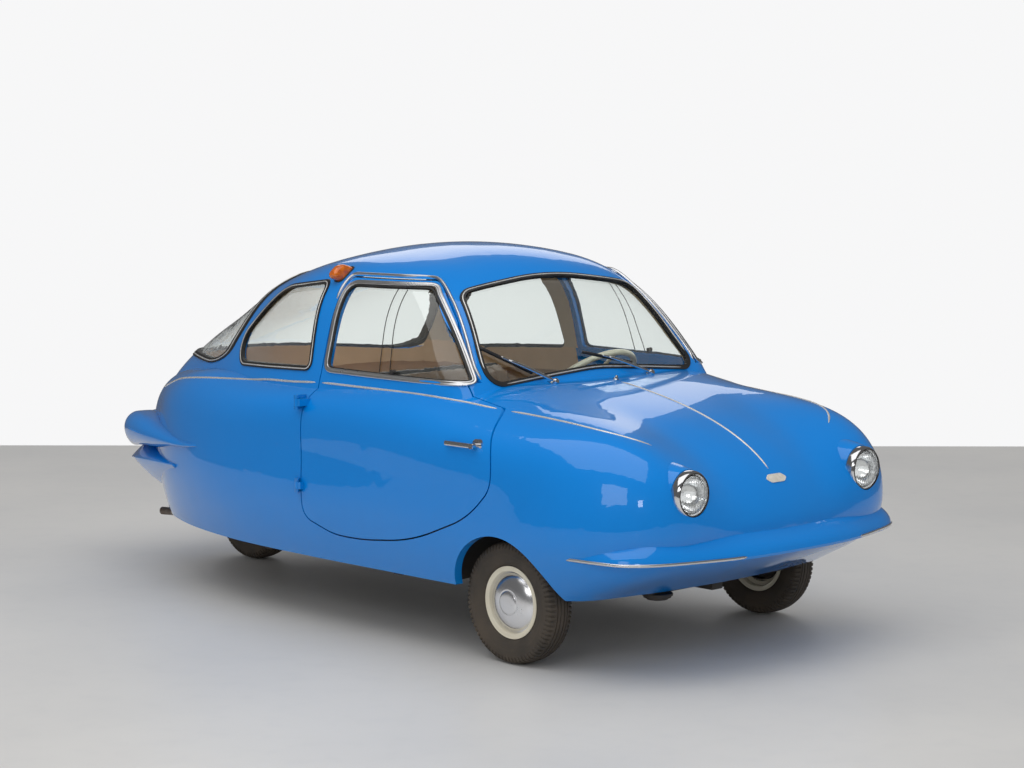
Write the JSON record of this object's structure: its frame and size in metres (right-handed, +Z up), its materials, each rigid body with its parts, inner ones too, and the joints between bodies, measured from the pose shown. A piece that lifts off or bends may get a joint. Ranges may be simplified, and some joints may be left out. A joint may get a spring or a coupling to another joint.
{
  "type": "three-wheeled bubble car",
  "caption": "Small three-wheeled bubble car with a domed cabin, rear-hinged doors, tail fins, a single rear wheel and a lip round the nose.",
  "frame": {"origin": "on the ground under the middle of the car's outer box", "axes": "+X to the car's left, +Y to its rear, +Z up; the nose points to -Y"},
  "size_m": [1.498, 3.1499, 1.2892],
  "materials": {
    "blue_paint": "gloss",
    "glass": "clear",
    "lamp_glass": "fluted",
    "red_lens": "gloss",
    "amber_lens": "faceted",
    "rubber": "matte",
    "tyre": "matte",
    "wheel_paint": "gloss",
    "chrome": "polished",
    "steel_dark": "satin",
    "black_trim": "matte",
    "tan_leather": "matte",
    "tan_trim": "matte",
    "cream_plastic": "gloss"
  },
  "bodies": {
    "car": {"body_shell": "blue_paint", "windscreen_glass": "glass", "windscreen_gasket": "rubber", "rear_window_glass": "glass", "rear_window_gasket": "rubber", "quarter_glass_right": "glass", "quarter_glass_left": "glass", "quarter_gaskets": "rubber", "door_hinges": "blue_paint", "engine_lid_hinges": "blue_paint", "front_axle": "steel_dark", "chassis_frame": "steel_dark", "front_wheelhouses": "blue_paint", "floor_pan": "black_trim", "rear_shelf": "tan_trim", "rear_swing_arm": "steel_dark", "engine_block": "steel_dark", "exhaust": "steel_dark", "headlamp_left": "chrome", "headlamp_right": "chrome", "headlamp_lens_left": "lamp_glass", "headlamp_lens_right": "lamp_glass", "tail_lamps": "red_lens", "indicators": "amber_lens", "dashboard": "black_trim", "steering_column": "steel_dark", "seat_frame": "black_trim", "seat_cushion": "tan_leather", "seat_backrest": "tan_leather", "pedals": "steel_dark", "gear_lever": "steel_dark", "horn": "steel_dark", "wiper_right": "chrome", "wiper_left": "chrome"},
    "door_r": {"door_right": "blue_paint", "door_glass_right": "glass", "door_handle_right": "chrome"},
    "door_l": {"door_left": "blue_paint", "door_glass_left": "glass", "door_handle_left": "chrome"},
    "lid": {"engine_lid": "blue_paint"},
    "steering": {"steering_wheel": "cream_plastic"},
    "tie": {"tie_rod": "steel_dark"},
    "knuckle_l": {"knuckle_left": "steel_dark"},
    "knuckle_r": {"knuckle_right": "steel_dark"},
    "wheel_fl": {"tyre_front_left": "tyre", "rim_front_left": "wheel_paint", "hub_cap_front_left": "chrome"},
    "wheel_fr": {"tyre_front_right": "tyre", "rim_front_right": "wheel_paint", "hub_cap_front_right": "chrome"},
    "wheel_r": {"tyre_rear": "tyre", "rim_rear": "wheel_paint"}
  },
  "joints": [
    {"name": "door_right_hinge", "type": "hinge", "parent": "car", "child": "door_r", "pos_m": [-0.742, 0.021, 0.62], "axis": [0, 0, -1], "range_deg": [0, 70]},
    {"name": "door_left_hinge", "type": "hinge", "parent": "car", "child": "door_l", "pos_m": [0.742, 0.021, 0.62], "axis": [0, 0, 1], "range_deg": [0, 70]},
    {"name": "engine_lid_hinge", "type": "hinge", "parent": "car", "child": "lid", "pos_m": [0, 1.49178, 0.618], "axis": [1, 0, 0], "range_deg": [0, 60]},
    {"name": "steering", "type": "hinge", "parent": "car", "child": "steering", "pos_m": [0.3, -0.332, 0.785], "axis": [0, 0.6402, 0.7682], "range_deg": [-150, 150]},
    {"name": "knuckle_left_turn", "type": "hinge", "parent": "car", "child": "knuckle_l", "pos_m": [0.545, -0.907, 0.1965], "axis": [0, 0, 1], "range_deg": [-25.1, 25.1]},
    {"name": "knuckle_right_turn", "type": "hinge", "parent": "car", "child": "knuckle_r", "pos_m": [-0.545, -0.907, 0.1965], "axis": [0, 0, 1], "range_deg": [-25.1, 25.1]},
    {"name": "tie_rod_slide", "type": "slide", "parent": "car", "child": "tie", "axis": [1, 0, 0], "range_m": [-0.0258, 0.0258]},
    {"name": "wheel_front_left_roll", "type": "hinge", "parent": "knuckle_l", "child": "wheel_fl", "pos_m": [0.594, -0.907, 0.1965], "axis": [1, 0, 0], "continuous": true},
    {"name": "wheel_front_right_roll", "type": "hinge", "parent": "knuckle_r", "child": "wheel_fr", "pos_m": [-0.594, -0.907, 0.1965], "axis": [1, 0, 0], "continuous": true},
    {"name": "wheel_rear_roll", "type": "hinge", "parent": "car", "child": "wheel_r", "pos_m": [0, 1.193, 0.1965], "axis": [1, 0, 0], "continuous": true}
  ],
  "couplings": [
    {"joint": "knuckle_left_turn", "follows": "steering", "ratio": 0.16667},
    {"joint": "knuckle_right_turn", "follows": "steering", "ratio": 0.16667},
    {"joint": "tie_rod_slide", "follows": "steering", "m_per_rad": -0.0098}
  ]
}
